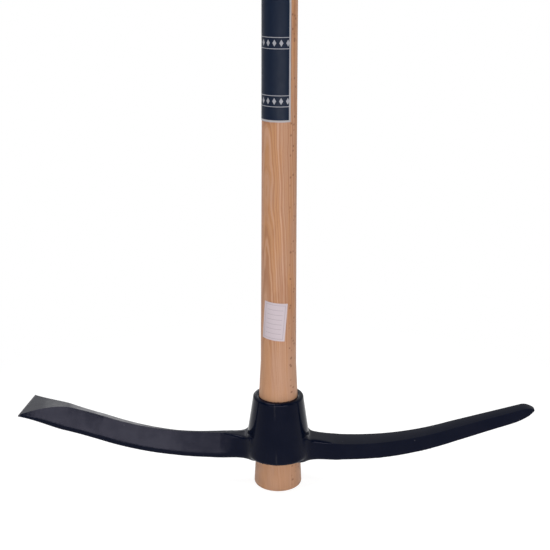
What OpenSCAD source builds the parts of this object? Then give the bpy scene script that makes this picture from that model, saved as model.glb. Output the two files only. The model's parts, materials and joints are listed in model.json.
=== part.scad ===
// Round-eye pick: a forged head with a chisel arm and a point arm, slipped over the grip end
// of a flared wooden handle and held by the handle's taper.
// The origin is the centre of the butt face, +Z runs up the handle to the grip end,
// +X runs along the point arm and -Y is the front. Lengths are in millimetres.

/* [Handle] */
// Length of the handle, from the butt face to the grip end
handle_length = 900; // [700:5:1200]
// Diameter where the seat taper meets the butt face
butt_d = 50.4; // [47:0.1:54]
// Diameter level with the lip of the eye
neck_d = 40.4; // [38.5:0.1:43]
// Diameter of the straight grip
grip_d = 34; // [30:0.1:36]
// Length of handle that stands out below the collar
butt_stub = 35; // [20:0.5:60]
// Length of the seat taper above the eye, before the handle sweeps in to the grip
taper_run = 38; // [5:0.5:60]
// Height at which the straight grip starts
grip_start = 560; // [460:5:640]
// Rounding of the butt's edge
butt_round = 2.7; // [1:0.1:5]
// Rounding of the grip end
grip_round = 9; // [3:0.5:13]

/* [Collar] */
// Height of the collar around the eye
collar_height = 66; // [55:0.5:85]
// Wall of the collar at its lip
lip_wall = 5.8; // [4.5:0.1:9]
// Wall of the collar at its lower edge
base_wall = 12.2; // [9:0.1:18]
// Rounding of the lip's outer edge
lip_round = 1.8; // [0.5:0.1:2.5]
// Rounding of the lip's edge inside the eye
eye_round = 0.6; // [0.3:0.1:1.5]
// Rounding of the lower edge
base_round = 4; // [1:0.1:6]
// Gap between the eye and the seated handle
eye_clearance = 0.15; // [0.05:0.05:0.4]

/* [Arms] */
// Distance from the handle's axis to the end of the point
point_reach = 267.5; // [220:0.5:330]
// Distance from the handle's axis to the chisel's edge
chisel_reach = 268.5; // [220:0.5:330]
// Distance from the axis over which the arms run level
level_run = 78; // [55:1:105]
// Radius of the sweep that lifts the arms
sweep_r = 340; // [260:5:450]
// Rise of the arms beyond the sweep, in degrees
rise_angle = 17.7; // [10:0.1:22]
// Height of the arms' mid-line above the collar's lower edge
arm_lift = 7.5; // [5:0.1:14]
// Width of both arms beside the collar
root_width = 24; // [18:0.5:30]
// Depth of both arms beside the collar, in the swing
root_depth = 25.5; // [18:0.5:30]
// Fillet between the arms' sides and the collar
side_fillet = 8; // [3:0.5:12]
// Fillet between the arms' tops and the collar
top_fillet = 5; // [2:0.5:8]

/* [Chisel] */
// Width of the chisel's edge
edge_width = 55; // [35:0.5:70]
// Thickness left at the chisel's edge
edge_thickness = 2; // [1:0.1:4]
// Set-back of the edge's corners
edge_crown = 1; // [0:0.1:5]
// Further set-back of the edge's corner at the back
edge_skew = 5; // [0:0.1:8]
// Length of the two bevels
bevel_length = 44; // [25:1:60]
// Length over which the arm spreads to the edge
spread_length = 80; // [40:1:110]
// Width of the chisel arm where it starts to spread
waist_width = 18; // [14:0.5:28]
// Depth of the chisel arm where the bevels start
waist_depth = 23; // [16:0.5:28]
// Share by which the chisel arm's sides lean in, from the mid-line to the top
side_lean = 0.35; // [0:0.01:0.5]
// Share by which the leaning top stands higher
lean_crest = 0.13; // [0:0.01:0.4]
// Length beyond the collar's fillet over which the lean comes in
lean_run = 60; // [30:1:100]

/* [Point] */
// Length of the blunt tip on its top and sides
tip_length = 12; // [8:0.5:30]
// Length of the tip's longer taper below
tip_under_length = 26; // [8:0.5:50]
// Width of the point arm where the tip starts
tip_width = 12.5; // [9:0.5:20]
// Depth of the point arm where the tip starts
tip_depth = 15; // [10:0.5:22]
// Width left at the end of the tip
tip_end = 4; // [1:0.1:6]

/* [Labels] */
// Height of the wrapped label
wrap_height = 150; // [80:1:200]
// Length of the wrapped label round the handle
wrap_length = 52; // [30:0.5:80]
// Distance from the top of the wrapped label to the straight grip
wrap_margin = 20.5; // [5:0.5:60]
// Bearing of the wrapped label's right edge from the front, in degrees
wrap_bearing = 38.5; // [0:0.5:90]
// Thickness of the wrapped film
wrap_film = 0.2; // [0.1:0.05:0.3]
// Width of the stock label
stock_width = 25; // [15:0.5:30]
// Height of the stock label
stock_height = 40; // [25:0.5:60]
// Height of the stock label's centre above the collar's lip
stock_rise = 87; // [60:1:110]
// Bearing of the stock label's centre from the front, in degrees
stock_bearing = -14.3; // [-90:0.1:90]
// Clockwise tilt of the stock label, in degrees
stock_tilt = 5; // [0:0.5:15]
// Thickness of the stock label's paper
stock_paper = 0.2; // [0.1:0.05:0.3]
// Adhesive between a label and the wood
adhesive = 0.12; // [0.05:0.01:0.2]

/* [Hidden] */

// One overrun for all cuts
overrun = 1;
// Depth to which the arms' fillets run into the collar
fillet_bury = 0.5;
$fn = 96;

// Steps along the curved stretches
arc_steps = 6;
sweep_steps = 16;
fillet_steps = 6;
arm_steps = 16;
end_steps = 10;
ring_points = 28;

// Roundness of the arms' sections: 2 is an ellipse and a higher power is squarer
root_power = 3.4;
edge_power = 4.5;
// Curve of the sweep from the taper in to the grip
sweep_power = 2.2;
// Curves of the chisel's thinning and of its spread, and of the point's taper
thin_power = 1.8;
spread_power = 2;
tip_power = 2.2;

// Heights up the handle
collar_base = butt_stub;
lip_top = butt_stub + collar_height;
taper_top = lip_top + taper_run;
arm_mid = collar_base + arm_lift;
arm_under = arm_mid - root_depth / 2;

// Handle and eye, as radii at a height
seat_slope = (butt_d - neck_d) / 2 / lip_top;
taper_top_r = seat_r(taper_top);
function seat_r(z) = butt_d / 2 - seat_slope * z;
function sweep_share(z) = pow((grip_start - z) / (grip_start - taper_top), sweep_power);
function sweep_in_r(z) = grip_d / 2 + (taper_top_r - grip_d / 2) * sweep_share(z);
function handle_r(z) = z <= taper_top ? seat_r(z) : z < grip_start ? sweep_in_r(z) : grip_d / 2;
function eye_r(z) = seat_r(z) + eye_clearance;

// Collar's outer cone
lip_r = eye_r(lip_top) + lip_wall;
base_r = eye_r(collar_base) + base_wall;
collar_slope = (base_r - lip_r) / collar_height;
function collar_r(z) = base_r - collar_slope * (z - collar_base);

// Points of an arc about a centre, from one angle to another
function arc(centre, r, from, to) =
    [for (i = [0:arc_steps])
        let (a = from + (to - from) * i / arc_steps)
        centre + r * [cos(a), sin(a)]];

// Even heights between two heights
function heights(low, high) = [for (i = [0:sweep_steps]) low + (high - low) * i / sweep_steps];

// Mid-line of an arm: level, then the sweep, then a straight rise
sweep_end = level_run + sweep_r * sin(rise_angle);
sweep_top = sweep_r * (1 - cos(rise_angle));
function arm_tilt(x) = x <= level_run ? 0 : x < sweep_end ? asin((x - level_run) / sweep_r) : rise_angle;
function arm_z(x) =
    x < sweep_end
        ? arm_mid + sweep_r * (1 - cos(arm_tilt(x)))
        : arm_mid + sweep_top + (x - sweep_end) * tan(rise_angle);

// Fillets that the arms spread into at the collar, seen from above and from the side
arm_top = arm_mid + root_depth / 2;
arm_collar_r = collar_r(arm_mid) - fillet_bury;
side_far = sqrt(pow(arm_collar_r + side_fillet, 2) - pow(root_width / 2 + side_fillet, 2));
side_near = side_far * arm_collar_r / (arm_collar_r + side_fillet);
slant_share = sqrt(1 + pow(collar_slope, 2));
top_far = collar_r(arm_top + top_fillet) - fillet_bury + top_fillet * slant_share;
top_near = top_far - top_fillet / slant_share;
function fillet_gain(r, far, near, x) =
    let (run = min(far - near, max(0, far - x)))
    r - sqrt(max(0, pow(r, 2) - pow(run, 2)));
function side_gain(x) = fillet_gain(side_fillet, side_far, side_near, x);
function top_gain(x) = fillet_gain(top_fillet, top_far, top_near, x);

// Places along an arm: from the axis, through the fillet, along the arm and over its end
fillet_start = min(side_near, top_near);
fillet_end = max(side_far, top_far);
function steps(low, high, count) = [for (i = [1:count]) low + (high - low) * i / count];
function arm_places(end_start, reach) = concat(
    [0, fillet_start],
    steps(fillet_start, fillet_end, fillet_steps),
    steps(fillet_end, end_start, arm_steps),
    steps(end_start, reach, end_steps));

// Share of the way between two places, from 0 to 1
function way_share(x, from, to) = max(0, min(1, (x - from) / (to - from)));
function between(a, b, share) = a + (b - a) * share;

// One ring of an arm, square to its mid-line: the crown sets both its sides back, the skew sets
// back the one at the back, and the lean draws its upper half in towards the top
function signed_power(v, power) = sign(v) * pow(abs(v), power);
function ring(x, width, above, below, power, crown, skew, lean) =
    let (tilt = arm_tilt(x))
    [for (i = [0:ring_points - 1])
        let (
            a = 360 * i / ring_points,
            side_share = signed_power(cos(a), 2 / power),
            rise_share = signed_power(sin(a), 2 / power),
            rise = rise_share * (rise_share > 0 ? above : below),
            across = side_share * width / 2 * (1 - lean * max(0, rise_share)),
            along = x - crown * pow(side_share, 2) - skew * (1 + side_share) / 2
        )
        [along - rise * sin(tilt), across, arm_z(x) + rise * cos(tilt)]];

// Ring of the chisel arm, which thins to its edge and spreads sideways as it thins
bevel_start = chisel_reach - bevel_length;
spread_start = chisel_reach - spread_length;
function chisel_ring(x) =
    let (
        bevel_share = way_share(x, bevel_start, chisel_reach),
        depth = between(root_depth, waist_depth, way_share(x, fillet_end, bevel_start)),
        waist = between(root_width, waist_width, way_share(x, fillet_end, spread_start)),
        spread_share = pow(way_share(x, spread_start, chisel_reach), spread_power),
        half = between(depth, edge_thickness, pow(bevel_share, thin_power)) / 2,
        width = between(waist, edge_width, spread_share) + 2 * side_gain(x),
        power = between(root_power, edge_power, bevel_share),
        lean_share = way_share(x, fillet_end, fillet_end + lean_run),
        above = half * (1 + lean_crest * lean_share) + top_gain(x),
        crown = edge_crown * bevel_share,
        skew = edge_skew * bevel_share
    )
    ring(x, width, above, half, power, crown, skew, side_lean * lean_share);

// Ring of the point arm, which tapers to a short blunt tip
tip_start = point_reach - tip_length;
tip_under_start = point_reach - tip_under_length;
function point_ring(x) =
    let (
        arm_share = way_share(x, fillet_end, tip_start),
        end_share = pow(way_share(x, tip_start, point_reach), tip_power),
        under_share = pow(way_share(x, tip_under_start, point_reach), tip_power),
        depth = between(root_depth, tip_depth, arm_share),
        width = between(between(root_width, tip_width, arm_share), tip_end, end_share),
        above = between(depth, tip_end, end_share) / 2,
        below = between(depth, tip_end, under_share) / 2
    )
    ring(x, width + 2 * side_gain(x), above + top_gain(x), below, root_power, 0, 0, 0);

// Closed skin over a list of rings
module loft(rings) {
    count = len(rings[0]);
    last = (len(rings) - 1) * count;
    sides = [for (i = [0:len(rings) - 2], j = [0:count - 1])
        let (a = i * count + j, b = i * count + (j + 1) % count)
        each [[a, a + count, b], [b, a + count, b + count]]];
    near_cap = [for (j = [1:count - 2]) [0, j, j + 1]];
    far_cap = [for (j = [1:count - 2]) [last, last + j + 1, last + j]];
    polyhedron([for (r = rings) each r], concat(sides, near_cap, far_cap));
}

// Solid of revolution from the axis out to an outline that runs upwards
module turned(outline) {
    low = outline[0][1];
    high = outline[len(outline) - 1][1];
    rotate_extrude() polygon(concat([[0, low]], outline, [[0, high]]));
}

module collar() {
    base_top = collar_base + base_round;
    lip_start = lip_top - lip_round;
    turned(concat(
        arc([collar_r(base_top) - base_round, base_top], base_round, -90, 0),
        arc([collar_r(lip_start) - lip_round, lip_start], lip_round, 0, 90)));
}

// Space of the eye, flared by the rounding of its mouth
module eye() {
    low = min(arm_under, collar_base) - overrun;
    mouth_centre = [eye_r(lip_top - eye_round) + eye_round, lip_top - eye_round];
    turned(concat(
        [[eye_r(low), low]],
        arc(mouth_centre, eye_round, 180, 90),
        [[mouth_centre[0], lip_top + overrun]]));
}

module pick_head() {
    color("#20242f")
    difference() {
        union() {
            collar();
            loft([for (x = arm_places(tip_under_start, point_reach)) point_ring(x)]);
            mirror([1, 0, 0]) loft([for (x = arm_places(bevel_start, chisel_reach)) chisel_ring(x)]);
        }
        eye();
    }
}

module handle() {
    color("#be8f6b")
    turned(concat(
        arc([seat_r(butt_round) - butt_round, butt_round], butt_round, -90, 0),
        [for (z = heights(taper_top, grip_start)) [handle_r(z), z]],
        arc([grip_d / 2 - grip_round, handle_length - grip_round], grip_round, 0, 90)));
}

// Outline of a thin band on the handle between two heights
function band(low, high, thickness) =
    concat(
        [for (z = heights(low, high)) [handle_r(z) + adhesive, z]],
        [for (z = heights(high, low)) [handle_r(z) + adhesive + thickness, z]]);

// Angle from +X about the handle's axis of a bearing given from the front
function heading(bearing) = bearing - 90;
function arc_angle(length, r) = length / r * 180 / PI;

module wrap_label() {
    top = grip_start - wrap_margin;
    wrap_angle = arc_angle(wrap_length, handle_r(top));
    color("#1e2534")
    rotate([0, 0, heading(wrap_bearing) - wrap_angle])
    rotate_extrude(angle = wrap_angle)
    polygon(band(top - wrap_height, top, wrap_film));
}

module stock_label() {
    middle = lip_top + stock_rise;
    reach = stock_height / 2 + stock_width / 2;
    r = handle_r(middle);
    chord = 2 * r * sin(arc_angle(stock_width, r) / 2);
    color("#cfc2c2")
    intersection() {
        rotate_extrude() polygon(band(middle - reach, middle + reach, stock_paper));
        rotate([0, 0, heading(stock_bearing)])
        translate([r, 0, middle])
        rotate([-stock_tilt, 0, 0])
        cube([r, chord, stock_height], center = true);
    }
}

handle();
pick_head();
wrap_label();
stock_label();
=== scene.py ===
"""Finished look of a round-eye pick: a painted forging, a turned handle and two stuck labels.

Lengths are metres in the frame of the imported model: the origin is the centre of the handle's
butt face, +Z runs up the handle, +X runs along the point arm and -Y is the front.
"""

import json
import logging
import math
from collections.abc import Callable, Iterator
from contextlib import contextmanager
from dataclasses import dataclass, field
from enum import Enum
from functools import cached_property

import bmesh
import bpy
from mathutils import Matrix, Vector


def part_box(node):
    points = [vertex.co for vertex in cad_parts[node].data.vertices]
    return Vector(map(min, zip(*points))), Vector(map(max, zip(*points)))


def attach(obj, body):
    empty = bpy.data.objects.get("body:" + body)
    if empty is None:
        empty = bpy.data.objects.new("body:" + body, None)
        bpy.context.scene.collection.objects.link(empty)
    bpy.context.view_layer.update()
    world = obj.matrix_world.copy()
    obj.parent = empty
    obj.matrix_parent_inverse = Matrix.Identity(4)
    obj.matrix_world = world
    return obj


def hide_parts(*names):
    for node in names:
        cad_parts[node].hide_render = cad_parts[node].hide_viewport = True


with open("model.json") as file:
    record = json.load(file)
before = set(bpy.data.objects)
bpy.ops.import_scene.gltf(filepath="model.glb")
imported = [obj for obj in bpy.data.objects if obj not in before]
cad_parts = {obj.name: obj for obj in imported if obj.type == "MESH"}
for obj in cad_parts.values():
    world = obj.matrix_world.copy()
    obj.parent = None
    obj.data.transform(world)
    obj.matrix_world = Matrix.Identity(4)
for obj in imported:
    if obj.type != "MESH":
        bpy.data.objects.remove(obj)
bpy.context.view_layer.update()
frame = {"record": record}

LOG = logging.getLogger("pick")
MM = 0.001
# Attribute that lightens the paint along the cutting edge and the parting line: partly worn paint,
# partly a painted highlight.
WORN_AND_HIGHLIGHT = "worn_paint_and_highlight"

Piece = bpy.types.Object
Pair = tuple[float, float]
Colour = tuple[float, float, float]
Place = tuple[float, float, float]
Socket = bpy.types.NodeSocket


class Part(Enum):
    """What an edit-mode selection picks out."""

    CORNERS = "VERT"
    EDGES = "EDGE"


class Slot(Enum):
    """Material slots of the record."""

    WOOD = "handle_wood"
    PAINT = "head_paint"
    FILM = "label_film"
    PAPER = "label_paper"


class Body(Enum):
    """Bodies of the frame that a piece can ride on."""

    HANDLE = "handle"
    HEAD = "head"


# Bench work

def start_clean() -> None:
    """Leaves nothing selected, so that the next operator touches only what it adds."""
    bpy.ops.object.select_all(action="DESELECT")


def take_up(piece: Piece) -> None:
    """Selects one piece alone and makes it the active one."""
    start_clean()
    piece.select_set(True)
    bpy.context.view_layer.objects.active = piece


def added(name: str) -> Piece:
    """Names the object that the last operator added and returns it."""
    piece = bpy.context.active_object
    piece.name = name
    piece.data.name = name
    return piece


def fix_place(piece: Piece) -> None:
    """Moves a piece's place, turn and scale into its mesh."""
    take_up(piece)
    bpy.ops.object.transform_apply(location=True, rotation=True, scale=True)


@contextmanager
def shaping(piece: Piece) -> Iterator[None]:
    """Opens a piece in edit mode with all of it selected, and closes it again."""
    take_up(piece)
    bpy.ops.object.mode_set(mode="EDIT")
    bpy.ops.mesh.select_all(action="SELECT")
    yield
    bpy.ops.object.mode_set(mode="OBJECT")


def middle(element: bmesh.types.BMVert | bmesh.types.BMEdge) -> Vector:
    """Returns the middle of a corner or an edge."""
    if isinstance(element, bmesh.types.BMVert):
        return element.co
    return sum((corner.co for corner in element.verts), Vector()) / len(element.verts)


def choose(piece: Piece, part: Part, test: Callable[[Vector], bool]) -> None:
    """Selects the corners or edges of an opened piece by the place of their middle.

    Args:
        piece: The piece, in edit mode.
        part: What to select.
        test: Says whether a middle belongs to the selection.
    """
    bpy.ops.mesh.select_mode(type=part.value)
    bpy.ops.mesh.select_all(action="DESELECT")
    mesh = bmesh.from_edit_mesh(piece.data)
    for element in mesh.verts if part is Part.CORNERS else mesh.edges:
        element.select_set(test(middle(element)))
    bmesh.update_edit_mesh(piece.data)


def apply_modifier(piece: Piece, kind: str, **settings: object) -> None:
    """Adds a modifier to a piece and applies it.

    Args:
        piece: The piece to change.
        kind: Blender's name of the modifier's type.
        settings: Values of the modifier's properties.
    """
    take_up(piece)
    modifier = piece.modifiers.new(kind.lower(), kind)
    for name, value in settings.items():
        setattr(modifier, name, value)
    bpy.ops.object.modifier_apply(modifier=modifier.name)


def face_outwards(piece: Piece) -> None:
    """Merges doubled corners of a piece and turns its faces outwards."""
    with shaping(piece):
        bpy.ops.mesh.remove_doubles(threshold=0.001 * MM)
        bpy.ops.mesh.normals_make_consistent(inside=False)


def apply_weighted(piece: Piece, kind: str, weight: Callable[[Vector], float],
                   **settings: object) -> None:
    """Adds a modifier whose strength follows the corners' places and applies it.

    Args:
        piece: The piece to change.
        kind: Blender's name of the modifier's type.
        weight: Gives the strength at a place, from 0 to 1.
        settings: Values of the modifier's properties.
    """
    group = piece.vertex_groups.new(name="strength")
    for corner in piece.data.vertices:
        group.add([corner.index], weight(corner.co), "REPLACE")
    apply_modifier(piece, kind, vertex_group=group.name, **settings)
    piece.vertex_groups.clear()


def smooth_over(piece: Piece, crease: float = math.radians(40)) -> None:
    """Shades a piece smoothly, except across edges sharper than a crease."""
    take_up(piece)
    bpy.ops.object.shade_smooth_by_angle(angle=crease)


def join_solid(piece: Piece, other: Piece, operation: str) -> None:
    """Unites a piece with another, or cuts it with the other, and removes the other."""
    apply_modifier(
        piece, "BOOLEAN", operation=operation, object=other, solver="EXACT", use_self=True)
    bpy.data.objects.remove(other)


def hand_over(piece: Piece, node: str, body: Body) -> None:
    """Lets a finished piece stand for a node of the frame.

    Args:
        piece: The finished piece.
        node: The node that it replaces.
        body: The body that it rides on.
    """
    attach(piece, body.value)
    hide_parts(node)
    LOG.info("%s: %d faces, on body %s", piece.name, len(piece.data.polygons), body.value)


def share_of_way(value: float, start: float, end: float) -> float:
    """Returns how far a value lies between two others, from 0 to 1."""
    return max(0.0, min(1.0, (value - start) / (end - start)))


def eased(share: float) -> float:
    """Returns a share of the way that starts and ends gently."""
    return share * share * (3.0 - 2.0 * share)


def between(start: float, end: float, share: float) -> float:
    """Returns the value at a share of the way between two others."""
    return start + (end - start) * share


def even_steps(start: float, end: float, count: int) -> list[float]:
    """Returns evenly spaced values after the start, up to and including the end."""
    return [between(start, end, (step + 1) / count) for step in range(count)]


def quarter_arc(centre: Pair, radius: float, start: float, end: float,
                steps: int) -> list[Pair]:
    """Lays points along an arc in the plane of a turned profile.

    Args:
        centre: Distance of the arc's centre from the axis, and its height.
        radius: Radius of the arc.
        start: First angle in degrees, 0 pointing away from the axis and 90 up.
        end: Last angle in degrees.
        steps: Number of steps along the arc.

    Returns:
        The points as distances from the axis and heights.
    """
    angles = [math.radians(between(start, end, step / steps)) for step in range(steps + 1)]
    return [(centre[0] + radius * math.cos(a), centre[1] + radius * math.sin(a)) for a in angles]


def turn_piece(name: str, profile: list[Pair], sides: int) -> Piece:
    """Makes a round solid by drawing a disc upwards and resizing it at each station.

    Args:
        name: Name of the piece.
        profile: Stations from the lowest up, as radius and height.
        sides: Number of sides of the disc.

    Returns:
        The solid, with its place in its mesh.
    """
    start_clean()
    radius, height = profile[0]
    bpy.ops.mesh.primitive_circle_add(
        vertices=sides, radius=radius, fill_type="NGON", location=(0, 0, height))
    piece = added(name)
    fix_place(piece)
    with shaping(piece):
        for next_radius, next_height in profile[1:]:
            bpy.ops.mesh.extrude_region_move(
                TRANSFORM_OT_translate={"value": (0, 0, next_height - height)})
            ratio = next_radius / radius
            bpy.ops.transform.resize(
                value=(ratio, ratio, 1), center_override=(0, 0, next_height))
            radius, height = next_radius, next_height
    face_outwards(piece)
    return piece


# Finishes

class NodeBench:
    """Lays out the nodes of one node tree."""

    def __init__(self, owner: bpy.types.Material | bpy.types.World) -> None:
        """Opens the node tree of a material or a world."""
        owner.use_nodes = True
        self.tree = owner.node_tree

    def feed(self, socket: Socket, value: object) -> None:
        """Links a socket to another one, or sets its value."""
        if isinstance(value, bpy.types.NodeSocket):
            self.tree.links.new(value, socket)
        elif isinstance(value, tuple) and len(value) == 3 and socket.type == "RGBA":
            socket.default_value = (*value, 1.0)
        else:
            socket.default_value = value

    def node(self, kind: str, inputs: dict[str | int, object],
             **settings: object) -> bpy.types.Node:
        """Adds a node.

        Args:
            kind: Blender's name of the node's type, without its leading ShaderNode.
            inputs: Values or sockets for the node's inputs.
            settings: Values of the node's own properties.

        Returns:
            The node.
        """
        made = self.tree.nodes.new("ShaderNode" + kind)
        for name, value in settings.items():
            setattr(made, name, value)
        for key, value in inputs.items():
            self.feed(made.inputs[key], value)
        return made

    def place(self) -> Socket:
        """Returns the place on the piece, in metres."""
        return self.node("TexCoord", {}).outputs["Object"]

    def sheet_place(self) -> Socket:
        """Returns the place on a flat sheet, from 0 to 1 both ways."""
        return self.node("TexCoord", {}).outputs["UV"]

    def mapped(self, place: Socket, scale: Place, turn: Place = (0, 0, 0)) -> Socket:
        """Stretches and turns a place."""
        inputs = {"Vector": place, "Rotation": turn, "Scale": scale}
        return self.node("Mapping", inputs).outputs[0]

    def noise(self, place: Socket, scale: float, detail: float) -> Socket:
        """Returns a cloudy value about 0.5."""
        inputs = {"Vector": place, "Scale": scale, "Detail": detail}
        return self.node("TexNoise", inputs).outputs[0]

    def streaks(self, place: Socket, stretch: Place, detail: float = 2.0) -> Socket:
        """Returns a cloudy value about 0.5, stretched by its own scale along each axis."""
        return self.noise(self.mapped(place, stretch), 1.0, detail)

    def line_noise(self, value: Socket, scale: float, detail: float) -> Socket:
        """Returns a cloudy value about 0.5 that follows one number alone."""
        inputs = {"W": value, "Scale": scale, "Detail": detail}
        return self.node("TexNoise", inputs, noise_dimensions="1D").outputs[0]

    def cells(self, place: Socket, scale: float = 1.0) -> bpy.types.Node:
        """Returns a node that gives the distance to scattered points and a colour for each."""
        return self.node("TexVoronoi", {"Vector": place, "Scale": scale})

    def sums(self, operation: str, first: object, second: object = 0.0) -> Socket:
        """Returns the result of a sum on one or two values."""
        return self.node("Math", {0: first, 1: second}, operation=operation).outputs[0]

    def times(self, first: object, second: object) -> Socket:
        """Returns the product of two values."""
        return self.sums("MULTIPLY", first, second)

    def plus(self, first: object, second: object) -> Socket:
        """Returns two values added."""
        return self.sums("ADD", first, second)

    def minus(self, first: object, second: object) -> Socket:
        """Returns the first value less the second."""
        return self.sums("SUBTRACT", first, second)

    def range(self, value: Socket, low: float, high: float, start: float = 0.0,
              end: float = 1.0) -> Socket:
        """Eases a value from one range to another, or to a share from 0 to 1."""
        inputs = {"Value": value, "From Min": low, "From Max": high, "To Min": start, "To Max": end}
        return self.node("MapRange", inputs, interpolation_type="SMOOTHSTEP").outputs[0]

    def below(self, value: Socket, limit: float, blur: float) -> Socket:
        """Returns 1 where a value is under a limit and 0 over it, with a soft change between."""
        return self.range(value, limit - blur, limit + blur, 1.0, 0.0)

    def mix(self, share: object, first: object, second: object) -> Socket:
        """Mixes two colours."""
        return self.node("Mix", {0: share, 6: first, 7: second}, data_type="RGBA").outputs[2]

    def edge_gap(self, along: Socket, length: float) -> Socket:
        """Returns the distance from a place along a sheet to the nearer of its two edges."""
        return self.sums("MINIMUM", along, self.minus(length, along))

    def axes(self, place: Socket) -> tuple[Socket, Socket, Socket]:
        """Splits a place into its three axes."""
        made = self.node("SeparateXYZ", {0: place})
        return made.outputs[0], made.outputs[1], made.outputs[2]

    def sheet(self, width: float, height: float) -> tuple[Socket, Socket, Socket]:
        """Returns the places across and up a flat sheet and the gap to its edge, in metres."""
        across, up, _ = self.axes(self.sheet_place())
        right = self.times(across, width)
        rise = self.times(up, height)
        edge = self.sums("MINIMUM", self.edge_gap(right, width), self.edge_gap(rise, height))
        return right, rise, edge

    def bump(self, height: Socket, strength: float, depth: float,
             under: Socket | None = None) -> Socket:
        """Returns a surface direction roughened by a height, over another one where given."""
        inputs = {"Height": height, "Strength": strength, "Distance": depth}
        if under is not None:
            inputs["Normal"] = under
        return self.node("Bump", inputs).outputs[0]


class FinishBench(NodeBench):
    """Lays out the nodes of one material."""

    def __init__(self, name: str) -> None:
        """Starts a material with a shader and an output."""
        self.material = bpy.data.materials.new(name)
        super().__init__(self.material)
        self.shader = self.tree.nodes["Principled BSDF"]
        self.output = self.tree.nodes["Material Output"]

    def surface(self, **inputs: object) -> None:
        """Sets inputs of the shader, with underscores for the spaces in their names."""
        for name, value in inputs.items():
            self.feed(self.shader.inputs[name.replace("_", " ")], value)


@dataclass(frozen=True)
class Paint:
    """Semi-gloss blue-black paint over a forged skin."""

    colour: Colour = (0.0010, 0.0027, 0.0098)
    thin_colour: Colour = (0.0024, 0.0040, 0.0114)
    speck_colour: Colour = (0.05, 0.052, 0.06)
    # Lighter paint for the cutting edge and the parting line: partly worn paint, partly a painted
    # highlight.
    worn_and_highlight_colour: Colour = (0.085, 0.082, 0.088)
    gloss: Pair = (0.10, 0.16)
    arm_satin: float = 0.02
    root_satin: float = 0.08
    satin_run: Pair = (40 * MM, 55 * MM)
    root_run: Pair = (80 * MM, 130 * MM)
    shine: float = 0.08
    shine_tint: Colour = (0.88, 0.83, 1.0)
    tone_cloud: Pair = (45.0, 3.0)
    gloss_cloud: Pair = (110.0, 4.0)
    worn_and_highlight_cloud: Pair = (300.0, 2.0)
    forge_cloud: Pair = (70.0, 2.0)
    peel_cloud: Pair = (620.0, 1.0)
    forge_relief: Pair = (0.10, 0.6 * MM)
    peel_relief: Pair = (0.05, 0.1 * MM)
    speck_relief: Pair = (0.3, 0.1 * MM)
    speck_scale: float = 160.0
    speck_share: Pair = (0.955, 0.965)
    speck_size: Pair = (0.06, 0.11)

    def material(self) -> bpy.types.Material:
        """Makes the paint: cloudy tone, orange peel, hammered forging skin, dust specks, and a
        lighter line along the cutting edge and the parting line that is partly worn paint and
        partly a painted highlight.
        """
        bench = FinishBench("head_paint")
        place = bench.place()
        cloud = bench.noise(place, *self.tone_cloud)
        tone = bench.mix(bench.range(cloud, 0.35, 0.7), self.colour, self.thin_colour)
        dots = bench.cells(place, self.speck_scale)
        lone = bench.range(bench.axes(dots.outputs["Color"])[0], *self.speck_share)
        near = bench.range(dots.outputs["Distance"], *self.speck_size, 1.0, 0.0)
        speck = bench.times(lone, near)
        # Lightens the tone in patches where the attribute says: worn paint and a painted highlight
        # along the cutting edge and the parting line.
        wear_and_highlight = bench.node("Attribute", {}, attribute_name=WORN_AND_HIGHLIGHT).outputs["Fac"]
        patches = bench.range(bench.noise(place, *self.worn_and_highlight_cloud), 0.3, 0.6, 0.4, 1.0)
        tone = bench.mix(bench.times(wear_and_highlight, patches), tone, self.worn_and_highlight_colour)
        out = bench.times(bench.axes(place)[0], -1.0)
        rooted = bench.range(out, *self.root_run, self.arm_satin + self.root_satin, self.arm_satin)
        satin = bench.times(bench.range(out, *self.satin_run), rooted)
        polish = bench.range(bench.noise(place, *self.gloss_cloud), 0.3, 0.7, *self.gloss)
        forged = bench.bump(bench.noise(place, *self.forge_cloud), *self.forge_relief)
        peel = bench.bump(bench.noise(place, *self.peel_cloud), *self.peel_relief, forged)
        bench.surface(
            Base_Color=bench.mix(speck, tone, self.speck_colour),
            Roughness=bench.plus(polish, satin),
            Specular_IOR_Level=self.shine,
            Specular_Tint=self.shine_tint,
            Normal=bench.bump(speck, *self.speck_relief, peel))
        return bench.material


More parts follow.
